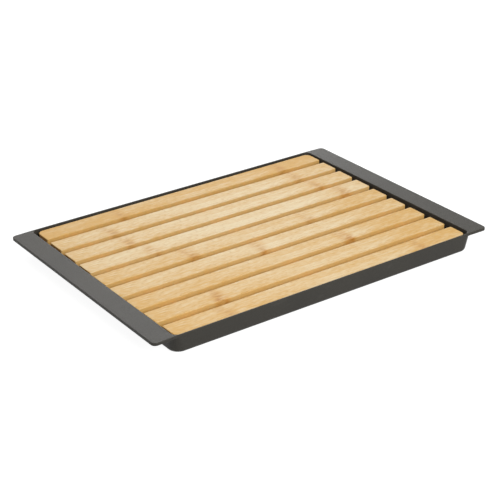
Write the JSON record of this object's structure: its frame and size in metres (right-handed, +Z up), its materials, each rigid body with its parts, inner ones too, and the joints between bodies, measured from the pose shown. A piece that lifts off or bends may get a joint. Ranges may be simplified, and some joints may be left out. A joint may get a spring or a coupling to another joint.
{
  "type": "bread board with crumb catcher",
  "caption": "Slatted bamboo bread board lying loose in a shallow dark plastic crumb tray with a flat carrying flange at each end.",
  "frame": {"origin": "centre of the tray's underside, on the table", "axes": "+X along the slats toward the right-hand flange, +Y to the back, +Z up"},
  "size_m": [0.422, 0.287, 0.021],
  "materials": {
    "tray_plastic": "fine matt moulded surface",
    "slat_bamboo": "planed and lightly oiled",
    "batten_bamboo": "planed, bare",
    "screw_steel": "zinc plated"
  },
  "bodies": {
    "crumb_tray": {"tray": "tray_plastic"},
    "slatted_board": {"slat_1": "slat_bamboo", "slat_2": "slat_bamboo", "slat_3": "slat_bamboo", "slat_4": "slat_bamboo", "slat_5": "slat_bamboo", "slat_6": "slat_bamboo", "slat_7": "slat_bamboo", "slat_8": "slat_bamboo", "slat_9": "slat_bamboo", "left_batten": "batten_bamboo", "middle_batten": "batten_bamboo", "right_batten": "batten_bamboo", "left_batten_screws": "screw_steel", "middle_batten_screws": "screw_steel", "right_batten_screws": "screw_steel"}
  },
  "joints": [
    {"name": "board_lift", "type": "slide", "parent": "crumb_tray", "child": "slatted_board", "axis": [0, 0, 1], "range_m": [0, 0.06]}
  ]
}
